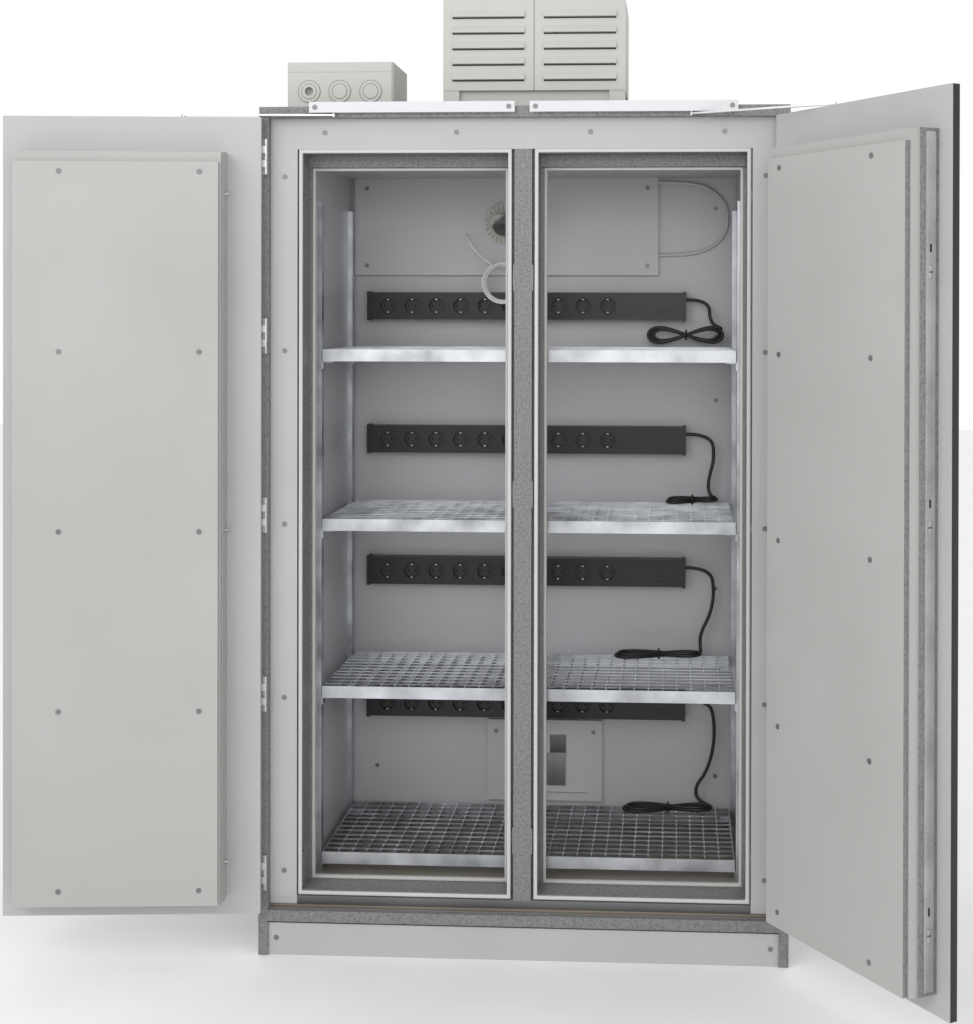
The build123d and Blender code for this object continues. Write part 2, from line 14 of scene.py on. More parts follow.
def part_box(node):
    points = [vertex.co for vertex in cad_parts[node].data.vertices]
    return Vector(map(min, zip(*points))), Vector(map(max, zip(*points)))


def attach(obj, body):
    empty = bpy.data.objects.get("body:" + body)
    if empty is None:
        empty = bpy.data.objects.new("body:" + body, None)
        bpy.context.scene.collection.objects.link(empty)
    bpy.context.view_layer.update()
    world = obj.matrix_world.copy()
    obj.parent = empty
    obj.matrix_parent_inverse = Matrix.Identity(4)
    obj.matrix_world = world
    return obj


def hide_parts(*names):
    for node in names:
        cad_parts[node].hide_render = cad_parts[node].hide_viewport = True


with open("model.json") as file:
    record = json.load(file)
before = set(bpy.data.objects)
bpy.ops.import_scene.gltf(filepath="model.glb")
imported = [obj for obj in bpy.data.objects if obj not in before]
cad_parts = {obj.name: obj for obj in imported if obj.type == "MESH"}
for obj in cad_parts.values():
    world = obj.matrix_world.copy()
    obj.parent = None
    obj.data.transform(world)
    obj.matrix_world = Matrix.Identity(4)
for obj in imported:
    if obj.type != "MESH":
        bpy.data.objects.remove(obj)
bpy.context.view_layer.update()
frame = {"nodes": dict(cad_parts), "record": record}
print("loaded", len(frame["nodes"]), "nodes")

# %% [markdown]
# ## Places to build from
# A door's parts are easiest to describe along the door itself: how far from the hinge line,
# how deep and how high. The record's joints give the hinge line and the way the bolts slide,
# which is the door's own direction, so one matrix places anything on a door.

# %% Door directions
joints = {joint["name"]: joint for joint in frame["record"]["behaviour"]["joints"]}


def door_matrix(side):
    along = Vector(joints[side + "_bolt_slide"]["axis"])
    up = Vector((0, 0, 1))
    inward = up.cross(along)
    if side == "right":
        inward = -inward
    x, y, z = joints[side + "_door_hinge"]["pos_m"]
    place = Matrix.Identity(4)
    for row in range(3):
        place[row][0] = along[row]
        place[row][1] = inward[row]
        place[row][2] = up[row]
    place[0][3] = x
    place[1][3] = y
    return place


doors = {side: door_matrix(side) for side in ("left", "right")}
print("left door runs along", [round(v, 3) for v in doors["left"].col[0][:3]])

# %% [markdown]
# ## Noise patterns shared by the finishes
# Powder paint, galvanised zinc and moulded plastic all vary a little from place to place. A
# shader node group holds each kind of variation once, and every material sets its own scale.

# %% Node group helpers


def new_group(name, inputs, outputs):
    group = bpy.data.node_groups.new(name, "ShaderNodeTree")
    for title, kind, value in inputs:
        socket = group.interface.new_socket(name=title, in_out="INPUT", socket_type=kind)
        socket.default_value = value
    for title, kind in outputs:
        group.interface.new_socket(name=title, in_out="OUTPUT", socket_type=kind)
    start = group.nodes.new("NodeGroupInput")
    end = group.nodes.new("NodeGroupOutput")
    return group, start, end


def texture(tree, kind, coordinate, scale_socket=None, scale=1.0, **values):
    node = tree.nodes.new(kind)
    for key, value in values.items():
        node.inputs[key].default_value = value
    tree.links.new(coordinate, node.inputs["Vector"])
    if scale_socket is not None:
        tree.links.new(scale_socket, node.inputs["Scale"])
    else:
        node.inputs["Scale"].default_value = scale
    return node


def ramp(tree, source, low, high):
    node = tree.nodes.new("ShaderNodeMapRange")
    node.inputs["From Min"].default_value = low
    node.inputs["From Max"].default_value = high
    tree.links.new(source, node.inputs["Value"])
    return node.outputs["Result"]


def build_grain():
    """Mottle is broad and soft, Grain is fine: a powder-coated or moulded surface."""
    floats = [("Broad", "NodeSocketFloat", 3.0), ("Fine", "NodeSocketFloat", 900.0)]
    group, start, end = new_group("soft grain", floats,
                                  [("Mottle", "NodeSocketFloat"), ("Grain", "NodeSocketFloat")])
    place = group.nodes.new("ShaderNodeTexCoord").outputs["Object"]
    broad = texture(group, "ShaderNodeTexNoise", place, start.outputs["Broad"], Detail=3.0)
    fine = texture(group, "ShaderNodeTexNoise", place, start.outputs["Fine"], Detail=2.0)
    group.links.new(ramp(group, broad.outputs["Fac"], 0.3, 0.7), end.inputs["Mottle"])
    group.links.new(ramp(group, fine.outputs["Fac"], 0.3, 0.7), end.inputs["Grain"])
    return group


def build_speckle():
    """Small darker and lighter flecks, as on a fine stone pattern foil."""
    floats = [("Scale", "NodeSocketFloat", 260.0)]
    group, start, end = new_group("stone speckle", floats,
                                  [("Dark", "NodeSocketFloat"), ("Light", "NodeSocketFloat")])
    place = group.nodes.new("ShaderNodeTexCoord").outputs["Object"]
    dark = texture(group, "ShaderNodeTexNoise", place, start.outputs["Scale"], Detail=4.0, Roughness=0.7)
    light = texture(group, "ShaderNodeTexVoronoi", place, start.outputs["Scale"])
    group.links.new(ramp(group, dark.outputs["Fac"], 0.42, 0.66), end.inputs["Dark"])
    group.links.new(ramp(group, light.outputs["Distance"], 0.05, 0.5), end.inputs["Light"])
    return group


def build_spangle():
    """Zinc grows in flat crystals a few millimetres across, each a little lighter or darker."""
    floats = [("Scale", "NodeSocketFloat", 120.0)]
    group, start, end = new_group("zinc spangle", floats,
                                  [("Crystal", "NodeSocketFloat"), ("Cloud", "NodeSocketFloat")])
    place = group.nodes.new("ShaderNodeTexCoord").outputs["Object"]
    crystal = texture(group, "ShaderNodeTexVoronoi", place, start.outputs["Scale"])
    cloud = texture(group, "ShaderNodeTexNoise", place, scale=14.0, Detail=5.0)
    group.links.new(crystal.outputs["Color"], end.inputs["Crystal"])
    group.links.new(ramp(group, cloud.outputs["Fac"], 0.3, 0.7), end.inputs["Cloud"])
    return group


grain = build_grain()
speckle = build_speckle()
spangle = build_spangle()
print("groups", grain.name, speckle.name, spangle.name)

# %% [markdown]
# ## Materials
# Every finish is a Principled shader. Its colour is a mix of two near shades picked by one of
# the patterns, its roughness follows the broad mottle, and a low bump gives the surface tooth.

# %% Material maker


def finish(name, first, second, rough, metallic=0.0, pattern=None, mask="Mottle", spread=0.06,
           bump=0.05, bump_from=None, depth=0.0004, **values):
    material = bpy.data.materials.new(name)
    material.use_nodes = True
    tree = material.node_tree
    shader = tree.nodes["Principled BSDF"]
    shader.inputs["Metallic"].default_value = metallic
    source = tree.nodes.new("ShaderNodeGroup")
    source.node_tree = pattern or grain
    for key, value in values.items():
        source.inputs[key].default_value = value
    mix = tree.nodes.new("ShaderNodeMix")
    mix.data_type = "RGBA"
    mix.inputs["A"].default_value = (*first, 1)
    mix.inputs["B"].default_value = (*second, 1)
    tree.links.new(source.outputs[mask], mix.inputs["Factor"])
    tree.links.new(mix.outputs["Result"], shader.inputs["Base Color"])
    scale = tree.nodes.new("ShaderNodeMapRange")
    scale.inputs["To Min"].default_value = rough - spread
    scale.inputs["To Max"].default_value = rough + spread
    tree.links.new(source.outputs[mask], scale.inputs["Value"])
    tree.links.new(scale.outputs["Result"], shader.inputs["Roughness"])
    tooth = tree.nodes.new("ShaderNodeBump")
    tooth.inputs["Strength"].default_value = bump
    tooth.inputs["Distance"].default_value = depth
    tree.links.new(source.outputs[bump_from or mask], tooth.inputs["Height"])
    tree.links.new(tooth.outputs["Normal"], shader.inputs["Normal"])
    return material


pale_panel = finish("pale panel", (0.41, 0.41, 0.418), (0.44, 0.44, 0.447), 0.42, bump_from="Grain")
door_panel = finish("door panel", (0.385, 0.38, 0.37), (0.41, 0.405, 0.395), 0.38, bump_from="Grain")
room_lining = finish("room lining", (0.46, 0.46, 0.48), (0.50, 0.50, 0.52), 0.40, bump_from="Grain")
stone_board = finish("speckled board", (0.21, 0.21, 0.21), (0.12, 0.12, 0.122), 0.5,
                     pattern=speckle, mask="Dark", Scale=170.0)
dark_floor = finish("floor lining", (0.20, 0.18, 0.15), (0.26, 0.235, 0.20), 0.6, bump_from="Grain")
pale_profile = finish("pale profile", (0.50, 0.50, 0.49), (0.54, 0.54, 0.53), 0.45, bump_from="Grain")
box_plastic = finish("box plastic", (0.45, 0.46, 0.425), (0.48, 0.49, 0.455), 0.5, bump_from="Grain")
white_paint = finish("white channel paint", (0.60, 0.61, 0.63), (0.64, 0.65, 0.67), 0.4, bump_from="Grain")
zinc = finish("galvanised zinc", (0.36, 0.37, 0.39), (0.62, 0.64, 0.67), 0.38, metallic=0.9,
              pattern=spangle, mask="Cloud", spread=0.10, Scale=140.0)
bright_steel = finish("zinc plated steel", (0.46, 0.46, 0.45), (0.58, 0.58, 0.57), 0.30, metallic=0.9,
                      pattern=spangle, mask="Cloud", spread=0.08)
head_steel = finish("screw steel", (0.16, 0.16, 0.16), (0.24, 0.24, 0.24), 0.45, metallic=0.6)
sill_metal = finish("sill metal", (0.17, 0.15, 0.12), (0.23, 0.205, 0.17), 0.4, metallic=0.5)
shadow_black = finish("gap black", (0.012, 0.012, 0.013), (0.02, 0.02, 0.021), 0.6)
# Dark grey for narrow grooves and gaps: painted shade.
groove_shade_grey = finish("groove shade grey", (0.20, 0.20, 0.195), (0.25, 0.25, 0.245), 0.6)
dark_steel = finish("shadowed steel", (0.10, 0.10, 0.10), (0.16, 0.16, 0.16), 0.45, metallic=0.6)
black_housing = finish("black anodised housing", (0.012, 0.012, 0.014), (0.020, 0.020, 0.024), 0.36,
                       metallic=0.3, bump_from="Grain")
socket_black = finish("socket black", (0.010, 0.010, 0.010), (0.022, 0.022, 0.022), 0.5, bump_from="Grain")
cord_black = finish("cord black", (0.008, 0.008, 0.008), (0.016, 0.016, 0.016), 0.5, bump_from="Grain")
cable_grey = finish("cable grey", (0.46, 0.46, 0.45), (0.52, 0.52, 0.51), 0.45, bump_from="Grain")
cable_white = finish("cable white", (0.72, 0.72, 0.71), (0.78, 0.78, 0.77), 0.45, bump_from="Grain")
handle_black = finish("handle black", (0.018, 0.018, 0.018), (0.03, 0.03, 0.03), 0.42, bump_from="Grain")
print("materials", len(bpy.data.materials))

# %% Give every carried-over CAD node its finish
finishes = {
    pale_panel: ("face_frame", "plinth_front", "plinth_frame", "left_door_board", "right_door_board"),
    door_panel: ("left_door_lining", "right_door_lining", "left_door_core", "right_door_core"),
    room_lining: ("back_panel", "wall_left", "wall_right", "wall_roof", "upper_cover", "vent_cover"),
    stone_board: ("side_panel_left", "side_panel_right", "top_board", "bottom_board", "mullion",
                  "throat_left", "throat_right", "inner_frame"),
    dark_floor: ("wall_floor",),
    pale_profile: ("seal_profiles",),
    box_plastic: ("junction_box", "vent_housing", "air_valve"),
    white_paint: ("closer_channels",),
    zinc: ("uprights", "grating_shelf_1", "grating_shelf_2", "grating_shelf_3", "grating_shelf_4"),
    head_steel: ("cabinet_fasteners",),
    bright_steel: ("frame_hinges", "left_door_hardware", "right_door_hardware",
                   "left_door_bolts", "right_door_bolts", "left_closer_slider", "right_closer_slider",
                   "left_closer_arm", "right_closer_arm"),
    black_housing: ("power_strip_1", "power_strip_2", "power_strip_3", "power_strip_4"),
    socket_black: ("strip_fittings",),
    cord_black: ("lead_1", "lead_2", "lead_3", "lead_4", "hank_1", "hank_2", "hank_3", "hank_4"),
    cable_grey: ("wall_cables",),
    handle_black: ("left_door_handle", "right_door_handle"),
}
for material, names in finishes.items():
    for name in names:
        node = frame["nodes"][name]
        if not node.material_slots:
            node.data.materials.append(material)
        for slot in node.material_slots:
            slot.link = "OBJECT"
            slot.material = material
print("finished", sum(len(names) for names in finishes.values()), "nodes")

# %% [markdown]
# ## Small helpers for modelling
# A primitive is added at its size and place. It is then shaped in edit mode, with faces picked
# by where they are, and its place is applied so that the object sits at the origin.

# %% Modelling helpers


def settle(piece, place=None):
    """Put a piece in its place and write that place into its mesh."""
    if place is not None:
        piece.matrix_world = place @ piece.matrix_world
    bpy.ops.object.select_all(action="DESELECT")
    piece.select_set(True)
    bpy.context.view_layer.objects.active = piece
    bpy.ops.object.transform_apply(location=True, rotation=True, scale=True)


def bevelled(piece, width, segments=2):
    """Round the sharp edges of a piece with an applied bevel."""
    bpy.context.view_layer.objects.active = piece
    bevel = piece.modifiers.new("edges", "BEVEL")
    bevel.width = width
    bevel.segments = segments
    bevel.limit_method = "ANGLE"
    bpy.ops.object.modifier_apply(modifier=bevel.name)


def dress(piece, name, material, body):
    """Name a piece, give it its finish and let it ride on its body."""
    piece.name = name
    piece.data.name = name
    piece.data.materials.clear()
    piece.data.materials.append(material)
    # Screw heads also take the shadowed steel, painted shade for the floor of their recess.
    if material == head_steel:
        piece.data.materials.append(dark_steel)
    if piece.type == "MESH":
        bpy.ops.object.select_all(action="DESELECT")
        piece.select_set(True)
        bpy.context.view_layer.objects.active = piece
        bpy.ops.object.shade_smooth_by_angle(angle=radians(35))
    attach(piece, body)
    return piece


def new_box(low, high):
    """A box by two corners, as the active object."""
    bpy.ops.object.select_all(action="DESELECT")
    middle = [(a + b) / 2 for a, b in zip(low, high)]
    bpy.ops.mesh.primitive_cube_add(size=1, location=middle)
    piece = bpy.context.object
    piece.scale = [b - a for a, b in zip(low, high)]
    settle(piece)
    return piece


def new_disc(radius, depth, where, sides=24):
    """A short cylinder that faces along Y, as the active object."""
    bpy.ops.object.select_all(action="DESELECT")
    bpy.ops.mesh.primitive_cylinder_add(radius=radius, depth=depth, vertices=sides, location=where,
                                        rotation=(pi / 2, 0, 0))
    piece = bpy.context.object
    settle(piece)
    return piece


def copy_of(model):
    """Another piece with a mesh of its own."""
    twin = model.copy()
    twin.data = model.data.copy()
    bpy.context.collection.objects.link(twin)
    return twin


def pick_faces(piece, test):
    """Select the faces whose centre and normal pass a test, in edit mode."""
    bpy.ops.object.mode_set(mode="OBJECT")
    for polygon in piece.data.polygons:
        polygon.select = test(polygon.center, polygon.normal)
    bpy.ops.object.mode_set(mode="EDIT")
    bpy.ops.mesh.select_mode(type="FACE")


print("helpers ready")

# %% [markdown]
# ## Seal profiles
# Each bay's mouth has a pale plastic profile with rounded edges, and a smaller one lines its
# inner end. A plane is inset, its middle is deleted and the rest is pulled forward, so the
# corners stay clean. A bevel then rounds the long edges.

# %% Rounded seal rings


def ring_piece(low, high, wide):
    """A rectangular frame between two corners, open in the middle."""
    bpy.ops.object.select_all(action="DESELECT")
    middle = [(a + b) / 2 for a, b in zip(low, high)]
    bpy.ops.mesh.primitive_plane_add(size=1, location=(middle[0], high[1], middle[2]),
                                     rotation=(pi / 2, 0, 0))
    piece = bpy.context.object
    piece.scale = (high[0] - low[0], high[2] - low[2], 1)
    settle(piece)
    bpy.ops.object.mode_set(mode="EDIT")
    bpy.ops.mesh.select_all(action="SELECT")
    bpy.ops.mesh.inset(thickness=wide, use_even_offset=True)
    bpy.ops.mesh.delete(type="FACE")
    bpy.ops.mesh.select_all(action="SELECT")
    bpy.ops.mesh.extrude_region_move(TRANSFORM_OT_translate={"value": (0, low[1] - high[1], 0)})
    bpy.ops.mesh.select_all(action="SELECT")
    bpy.ops.mesh.normals_make_consistent(inside=False)
    bpy.ops.object.mode_set(mode="OBJECT")
    bevelled(piece, min(wide, high[1] - low[1]) * 0.3, 3)
    return piece


ring_low, ring_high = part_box("seal_profiles")
mouth_back = ring_low[1] + 0.008
inner_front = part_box("throat_left")[1][1] + 0.001
mouth = ((0.0260, ring_low[2]), (ring_high[0], ring_high[2]))
inner = ((0.0410, 0.142), (0.500, 1.798))
for side, name in ((-1, "left"), (1, "right")):
    for kind, corners, y0, y1, wide in (("mouth", mouth, ring_low[1], mouth_back, 0.0085),
                                        ("inner", inner, inner_front, ring_high[1], 0.007)):
        xs = sorted((side * corners[0][0], side * corners[1][0]))
        piece = ring_piece((xs[0], y0, corners[0][1]), (xs[1], y1, corners[1][1]), wide)
        dress(piece, f"{name}_{kind}_profile", pale_profile, "cabinet")
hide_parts("seal_profiles")

# %% [markdown]
# ## Screw heads
# The panels are held by countersunk screws with a cross recess. One head is modelled: a low
# cylinder whose front face is inset for the rim and pressed in for the recess. It is copied to
# each place, standing a little proud of the plain heads of the solid model.

# %% One screw head


def screw_head():
    piece = new_disc(0.0057, 0.0016, (0, 0.0002, 0), 16)
    pick_faces(piece, lambda centre, normal: normal.y < -0.9)
    bpy.ops.mesh.inset(thickness=0.0009)
    bpy.ops.transform.translate(value=(0, -0.0003, 0))
    bpy.ops.mesh.inset(thickness=0.0022)
    bpy.ops.transform.translate(value=(0, 0.0004, 0))
    bpy.ops.object.mode_set(mode="OBJECT")
    # The recess floor takes the darker shadowed steel: painted shade.
    for polygon in piece.data.polygons:
        flat = abs(polygon.center.x) < 0.0024 and abs(polygon.center.z) < 0.0024
        polygon.material_index = int(flat and polygon.normal.y < -0.5)
    return piece


model_head = screw_head()
frame_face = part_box("face_frame")[0][1] + 0.004
wall_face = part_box("back_panel")[0][1]
cover_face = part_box("upper_cover")[0][1]
vent_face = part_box("vent_cover")[0][1] + 0.006
rows = (0.186, 0.582, 0.978, 1.374, 1.771)
spots = [(x, frame_face, 1.871) for x in (-0.454, -0.152, 0.152, 0.454)]
spots += [(x, frame_face, z) for x in (-0.546, 0.546) for z in rows]
spots += [(0, frame_face, 1.795), (-0.560, -0.304, 0.038), (0.560, -0.304, 0.038)]
spots += [(x, wall_face, z) for x, z in ((0.448, 1.733), (0.449, 1.237), (0.449, 0.750))]
spots += [(x, wall_face, z) for x, z in ((-0.432, 0.277), (0.450, 0.264))]
spots += [(x, cover_face, z) for x in (-0.459, 0.272) for z in (1.585, 1.786)]
spots += [(x, vent_face, 0.375) for x in (-0.118, 0.135)]
channel_low, channel_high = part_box("closer_channels")
channel_mid = (channel_low[2] + channel_high[2]) / 2
spots += [(x, channel_low[1] + 0.0002, channel_mid) for x in (-0.470, -0.030, 0.030, 0.470)]
for number, (x, y, z) in enumerate(spots):
    head = copy_of(model_head)
    settle(head, Matrix.Translation((x, y - 0.0011, z)))
    dress(head, f"screw_head_{number}", head_steel, "cabinet")
lining_face = 0.103
for side in ("left", "right"):
    for number, (s, z) in enumerate([(s, z) for s in (0.129, 0.436) for z in rows]):
        head = copy_of(model_head)
        turn = Matrix.Translation((s, lining_face + 0.0011, z)) @ Matrix.Rotation(pi, 4, "Z")
        settle(head, doors[side] @ turn)
        if side == "right":
            bpy.ops.object.mode_set(mode="EDIT")
            bpy.ops.mesh.select_all(action="SELECT")
            bpy.ops.mesh.normals_make_consistent(inside=False)
            bpy.ops.object.mode_set(mode="OBJECT")
        dress(head, f"{side}_door_screw_{number}", head_steel, side + "_door")
bpy.data.objects.remove(model_head)
print("screw heads", len(spots) + 20)

# %% [markdown]
# ## Door edges, latches and roof details
# A door's free edge shows how it is built: a dark edge seal on the outer board, a speckled
# side under the lock's faceplate, and bright latch fronts in three places, each with a band of
# painted shade across its waist and a black sheet of painted shade for its slot. On the roof,
# a dark strip under each louvre is a painted shadow, and fine grooves in painted shade ring the
# knock-outs of the junction box.

# %% Edges and latches of both doors
free_edge, board_back, core_edge, lining_edge = 0.581, 0.0237, 0.543, 0.537
latch_rows = (0.264, 1.050, 1.541)


def door_piece(side, name, material, body, low, high, round_by=0.0):
    """A bevelled box given along the door, in depth and in height."""
    piece = new_box(low, high)
    if round_by:
        bevelled(piece, round_by)
    settle(piece, doors[side])
    if side == "right":
        bpy.ops.object.mode_set(mode="EDIT")
        bpy.ops.mesh.select_all(action="SELECT")
        bpy.ops.mesh.normals_make_consistent(inside=False)
        bpy.ops.object.mode_set(mode="OBJECT")
    dress(piece, f"{side}_{name}", material, body)


for side in ("left", "right"):
    door_piece(side, "door_edge_seal", shadow_black, side + "_door",
               (free_edge - 0.0005, 0.0065, 0.106), (free_edge + 0.0008, board_back - 0.0008, 1.900), 0.0004)
    door_piece(side, "door_core_edge", stone_board, side + "_door",
               (core_edge - 0.0005, board_back + 0.0006, 0.148), (core_edge + 0.0004, 0.0716, 1.818), 0.0002)
    door_piece(side, "door_lining_edge", stone_board, side + "_door",
               (lining_edge - 0.0005, 0.0915, 0.153), (lining_edge + 0.0004, 0.1025, 1.792), 0.0002)
    for number, height in enumerate(latch_rows):
        # The dark waist between the two bright halves is painted shade.
        for part, z0, z1, material in (("upper", 0.002, 0.012, bright_steel), ("waist", -0.0015, 0.0015, dark_steel),
                                       ("lower", -0.012, -0.002, bright_steel)):
            door_piece(side, f"latch_{part}_{number}", material, side + "_bolts",
                       (0.5448, 0.0405, height + z0), (0.5462, 0.0495, height + z1), 0.0006)
        # A black sheet on the faceplate stands for the latch slot: painted shade.
        door_piece(side, f"latch_slot_{number}", shadow_black, side + "_door",
                   (0.5442, 0.0425, height + 0.038), (0.5448, 0.0475, height + 0.054), 0.0002)
print("door details", 2 * (3 + 4 * len(latch_rows)))

# %% Painted louvre shadows, and knock-out grooves in painted shade
plate_face = -0.232
for number, (middle, row) in enumerate([(m, r) for m in (-0.0865, 0.1245)
                                        for r in (1.998, 2.034, 2.070, 2.106, 2.142)]):
    # A thin black strip under each louvre: the painted shadow of its hood.
    slot = new_box((middle - 0.083, plate_face - 0.0006, row - 0.0045), (middle + 0.083, plate_face + 0.001, row - 0.0008))
    bevelled(slot, 0.0003)
    dress(slot, f"louvre_shadow_{number}", shadow_black, "cabinet")
# The gap between the two louvre plates is a dark grey strip: painted shade.
gap = new_box((0.0182, plate_face + 0.0004, 1.974), (0.0198, plate_face + 0.0022, 2.181))
bevelled(gap, 0.0002)
dress(gap, "louvre_plate_gap", groove_shade_grey, "cabinet")
# Thin dark grey tori ring each knock-out: the painted shade of its grooves.
for number, (x, radius, y) in enumerate([(x, r, y) for x in (-0.501, -0.430, -0.358)
                                         for r, y in ((0.0252, -0.2420), (0.0172, -0.2430))]):
    bpy.ops.object.select_all(action="DESELECT")
    bpy.ops.mesh.primitive_torus_add(location=(x, y, 1.972), rotation=(pi / 2, 0, 0), major_radius=radius,
                                     minor_radius=0.0006, major_segments=40, minor_segments=6)
    groove = bpy.context.object
    settle(groove)
    dress(groove, f"knock_out_groove_{number}", groove_shade_grey, "cabinet")

# The sill under the bays, its rail face in shadowed steel as painted shade, and the steel flap of the low vent.
plates = (("sill_lip", sill_metal, (-0.5775, -0.2922, 0.1025), (0.5775, -0.2858, 0.1103)),
          ("sill_rail", dark_steel, (-0.5165, -0.2866, 0.1106), (0.5165, -0.2852, 0.1268)),
          ("vent_flap_plate", head_steel, (0.0143, 0.2432, 0.2383), (0.0617, 0.2442, 0.3217)),
          ("vent_flap_hook", dark_steel, (0.0223, 0.2452, 0.3223), (0.0637, 0.2462, 0.3677)))
for name, material, low, high in plates:
    plate = new_box(low, high)
    bevelled(plate, 0.0002)
    dress(plate, name, material, "cabinet")
print("roof details, sill and vent done")

# %% [markdown]
# ## Socket contacts
# Each earthed socket shows two bright earth clips, above and below, and a screw in the middle
# of its floor. They are three small shapes, the two clips bevelled, joined into one piece per socket.

# %% Earth clips and middle screws


def contact_set():
    parts = []
    for side in (-1, 1):
        clip = new_box((-0.003, -0.012, side * 0.0165 - 0.001), (0.003, 0.002, side * 0.0165 + 0.001))
        bevelled(clip, 0.0004)
        parts.append(clip)
    screw = new_disc(0.0024, 0.0018, (0, 0.0012, 0), 12)
    parts.append(screw)
    bpy.ops.object.select_all(action="DESELECT")
    for part in parts:
        part.select_set(True)
    bpy.context.view_layer.objects.active = parts[0]
    bpy.ops.object.join()
    return bpy.context.object


model_contacts = contact_set()
strip_rows = (1.480, 1.135, 0.794, 0.452)
strip_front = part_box("power_strip_1")[0][1] + 0.002
socket_floor = strip_front + 0.0105
for row, height in enumerate(strip_rows, start=1):
    for n in range(10):
        contacts = copy_of(model_contacts)
        settle(contacts, Matrix.Translation((-0.399 + 0.0633 * n, socket_floor - 0.001, height)))
        dress(contacts, f"contacts_{row}_{n}", bright_steel, "cabinet")
bpy.data.objects.remove(model_contacts)
print("contact sets", 10 * len(strip_rows))

# %% [markdown]
# ## Leads
# Each power strip has a rubber lead. It comes straight out of the end cap, hangs down and is
# wound in a figure of eight on its shelf, held by a tie. The line is one smooth NURBS curve:
# the first points are the route, and a loop adds the crossing turns, each a little different.

# %% Leads with their figure-of-eight hanks
lead_y = 0.226
routes = (
    ((0.372, 1.497), (0.432, 1.497), (0.432, 1.438)),
    ((0.372, 1.152), (0.438, 1.152), (0.446, 1.090), (0.430, 1.036), (0.430, 1.000)),
    ((0.372, 0.809), (0.436, 0.809), (0.446, 0.745), (0.436, 0.690), (0.410, 0.640), (0.410, 0.606)),
    ((0.372, 0.469), (0.436, 0.469), (0.448, 0.405), (0.444, 0.340), (0.425, 0.280), (0.400, 0.250),
     (0.400, 0.215)),
)
lead_d = 0.0085


def eight_points(low, high, flat, turns, start):
    """Crossing turns inside a box, each turn slightly smaller and shifted from the last."""
    points = []
    middle = [(a + b) / 2 for a, b in zip(low, high)]
    half = [(b - a) / 2 for a, b in zip(low, high)]
    steps = 16
    for n in range(turns * steps):
        t = start + 2 * pi * n / steps
        turn = n / steps
        shrink = 1 - 0.07 * turn
        x = middle[0] + (half[0] - lead_d) * shrink * cos(t)
        swing = (half[1] if flat else half[2]) - lead_d
        across = swing * (0.95 - 0.12 * turn) * sin(2 * t)
        lift = (half[2] if flat else half[1]) - lead_d * 0.6
        rise = lift * (-0.8 + 1.6 * ((turn * 0.5) % 1.0)) + 0.25 * lift * cos(t)
        if flat:
            points.append((x, middle[1] + across, middle[2] + max(-lift, min(lift, rise))))
        else:
            points.append((x, middle[1] + max(-lift, min(lift, rise)), middle[2] + across))
    return points


def cord_curve(points, diameter, order=3):
    curve = bpy.data.curves.new("line", "CURVE")
    curve.dimensions = "3D"
    curve.bevel_depth = diameter / 2
    curve.bevel_resolution = 4
    curve.resolution_u = 6
    curve.use_fill_caps = True
    spline = curve.splines.new("NURBS")
    spline.points.add(len(points) - 1)
    for point, place in zip(spline.points, points):
        point.co = (*place, 1)
    spline.order_u = order
    spline.use_endpoint_u = True
    piece = bpy.data.objects.new("line", curve)
    bpy.context.collection.objects.link(piece)
    return piece


def line_length(piece):
    """The curve's own length, read from the curve without its thickness."""
    bare = piece.copy()
    bare.data = piece.data.copy()
    bare.data.bevel_depth = 0
    bare.data.resolution_u = 24
    bpy.context.collection.objects.link(bare)
    mesh = bpy.data.meshes.new_from_object(bare)
    total = sum((mesh.vertices[a].co - mesh.vertices[b].co).length
                for a, b in (edge.vertices for edge in mesh.edges))
    bpy.data.objects.remove(bare)
    return total


for number, route in enumerate(routes, start=1):
    low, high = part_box(f"hank_{number}")
    flat = number > 1
    route_points = [(x, lead_y, z) for x, z in route]
    turns = eight_points(low, high, flat, 3, 0.35)
    piece = cord_curve(route_points + turns, lead_d)
    dress(piece, f"lead_{number}_line", cord_black, "cabinet")
    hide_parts(f"lead_{number}", f"hank_{number}")
    length = line_length(piece)
    bpy.ops.object.select_all(action="DESELECT")
    middle = [(a + b) / 2 for a, b in zip(low, high)]
    reach = 0.017
    bpy.ops.mesh.primitive_torus_add(location=middle, rotation=(0, pi / 2, 0), major_radius=reach * 0.66,
                                     minor_radius=0.0026, major_segments=24, minor_segments=8)
    tie = bpy.context.object
    settle(tie)
    dress(tie, f"lead_{number}_tie", cord_black, "cabinet")
    print("lead", number, "length", round(length, 3))

# %% [markdown]
# ## Cables on the back wall
# A grey cable makes one wide loop out of the cover and back, and a thin white cable hangs as a
# tied coil. Both are fixed to the cabinet, so they are plain smooth curves.

# %% Wall cables
loop_y = wall_face - 0.006
coil_y = cover_face - 0.038
cover_edge = 0.300
loop_spots = ((cover_edge, 1.800), (0.362, 1.800), (0.425, 1.790), (0.472, 1.752), (0.482, 1.700),
              (0.466, 1.652), (0.420, 1.622), (0.362, 1.612), (cover_edge, 1.612))
loop = cord_curve([(x, loop_y, z) for x, z in loop_spots], 0.008)
dress(loop, "cable_loop", cable_grey, "cabinet")
coil_points = [(-0.197, cover_face, 1.666), (-0.197, cover_face - 0.022, 1.666)]
coil_points += [(-0.186, coil_y, 1.640), (-0.160, coil_y, 1.610), (-0.128, coil_y, 1.586)]
for n in range(4 * 16):
    angle = 2.1 + 2 * pi * n / 16
    radius = 0.0545 - 0.0025 * (n / 16)
    depth = coil_y - 0.004 + 0.003 * (n / 16)
    coil_points.append((-0.098 + radius * cos(angle), depth, 1.539 + radius * sin(angle)))
coil = cord_curve(coil_points, 0.0045)
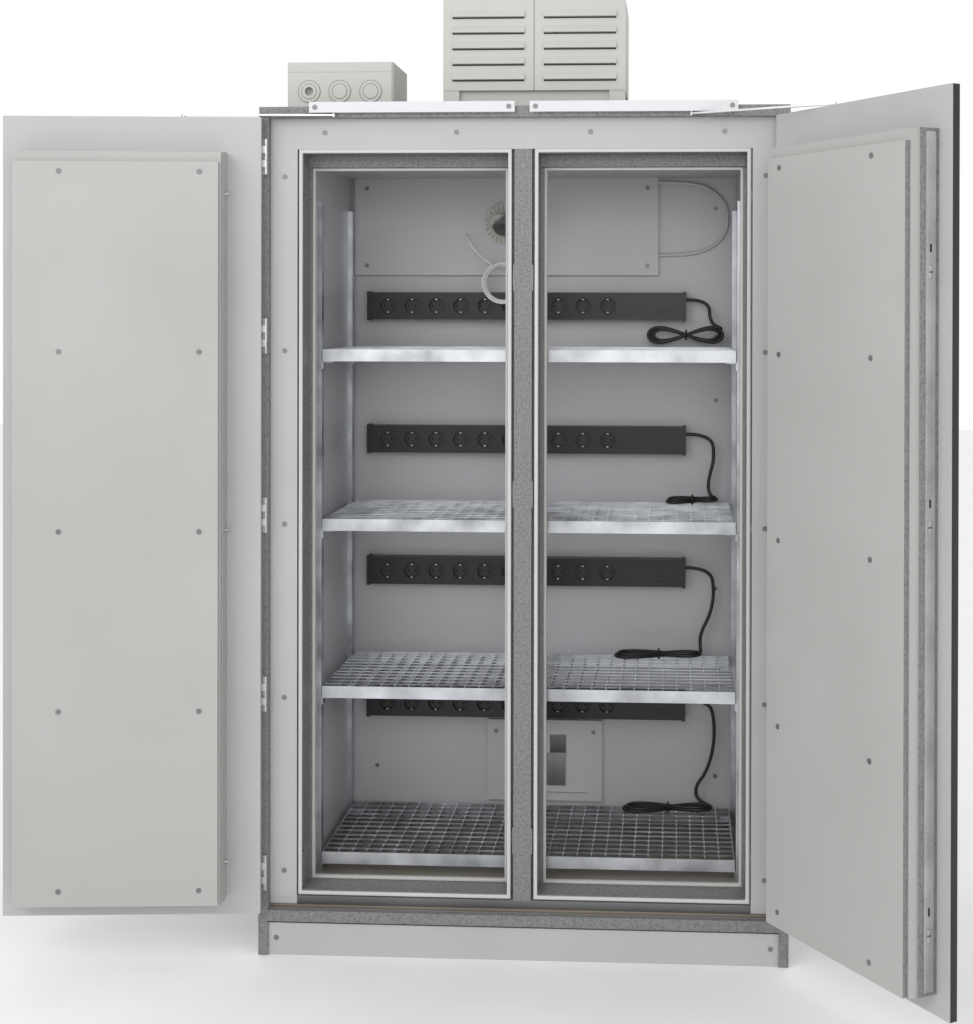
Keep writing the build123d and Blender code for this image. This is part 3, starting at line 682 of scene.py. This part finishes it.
dress(coil, "sensor_coil", cable_white, "cabinet")
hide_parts("wall_cables")
print("coil points", len(coil_points))

# %% [markdown]
# ## Air valve
# The round valve has a domed middle and a rim of radial slots. A disc is inset twice; every
# other face round its edge is then pressed in.

# %% Slotted valve
valve_low, valve_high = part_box("air_valve")
valve_x = (valve_low[0] + valve_high[0]) / 2
valve_z = (valve_low[2] + valve_high[2]) / 2
valve = new_disc(0.052, valve_high[1] - valve_low[1] - 0.006,
                 (valve_x, valve_high[1] - (valve_high[1] - valve_low[1] - 0.006) / 2, valve_z), 48)
pick_faces(valve, lambda centre, normal: normal.y < -0.9)
bpy.ops.mesh.inset(thickness=0.004)
bpy.ops.mesh.inset(thickness=0.014)
bpy.ops.mesh.extrude_region_move(TRANSFORM_OT_translate={"value": (0, -0.006, 0)})
bpy.ops.mesh.inset(thickness=0.004)
bpy.ops.object.mode_set(mode="OBJECT")


def slot_face(centre, normal):
    """Every other face of the ring between the rim and the raised middle."""
    dx = centre.x - valve_x
    dz = centre.z - valve_z
    radius = (dx * dx + dz * dz) ** 0.5
    return normal.y < -0.9 and 0.036 < radius < 0.046 and int((atan2(dz, dx) + pi) / (2 * pi) * 48) % 2 == 0


pick_faces(valve, slot_face)
bpy.ops.mesh.extrude_region_move(TRANSFORM_OT_translate={"value": (0, 0.005, 0)})
bpy.ops.object.mode_set(mode="OBJECT")
dress(valve, "slotted_valve", box_plastic, "cabinet")
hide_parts("air_valve")
print("valve faces", len(valve.data.polygons))

# %% [markdown]
# ## Camera
# A long lens stands in front of the cabinet, level with the upper shelf. The verticals stay
# upright because the camera is level, and the frame is moved by the lens shift.

# %% Camera
camera_data = bpy.data.cameras.new("camera")
camera = bpy.data.objects.new("camera", camera_data)
bpy.context.collection.objects.link(camera)
camera.location = (0.3426, -3.9574, 1.4579)
camera.rotation_euler = (pi / 2 - 0.0048, -0.0021, 0.0568)
camera_data.lens = 57.19
camera_data.shift_x = -0.0934
camera_data.shift_y = -0.1851
camera_data.clip_end = 60
bpy.context.scene.camera = camera

# %% [markdown]
# ## Floor and light
# The floor and the surroundings are pale and plain. A large soft light in front and above
# fills the inside evenly, and a weaker one from the right shapes the open doors.

# %% Stage and lights
bpy.ops.object.select_all(action="DESELECT")
bpy.ops.mesh.primitive_plane_add(size=30, location=(0, 2, -0.0005))
floor = bpy.context.object
settle(floor)
floor_paint = finish("pale floor", (0.86, 0.86, 0.86), (0.90, 0.90, 0.90), 0.7)
floor.data.materials.append(floor_paint)
floor.name = "floor"

world = bpy.data.worlds.new("studio")
world.use_nodes = True
world.node_tree.nodes["Background"].inputs["Color"].default_value = (1.0, 1.0, 1.0, 1)
world.node_tree.nodes["Background"].inputs["Strength"].default_value = 1.0
bpy.context.scene.world = world
bpy.context.scene.view_settings.view_transform = "Standard"


def soft_light(name, where, target, size, power):
    data = bpy.data.lights.new(name, "AREA")
    data.shape = "RECTANGLE"
    data.size = size[0]
    data.size_y = size[1]
    data.energy = power
    light = bpy.data.objects.new(name, data)
    bpy.context.collection.objects.link(light)
    light.location = where
    light.rotation_euler = (Vector(target) - Vector(where)).to_track_quat("-Z", "Y").to_euler()


soft_light("front light", (-2.4, -4.6, 3.4), (0, 0, 1.2), (3.0, 2.0), 70)
soft_light("shelf light", (0.6, -4.8, 2.2), (0, 0.2, 1.0), (2.0, 1.2), 30)
print("lights", len(bpy.data.lights))
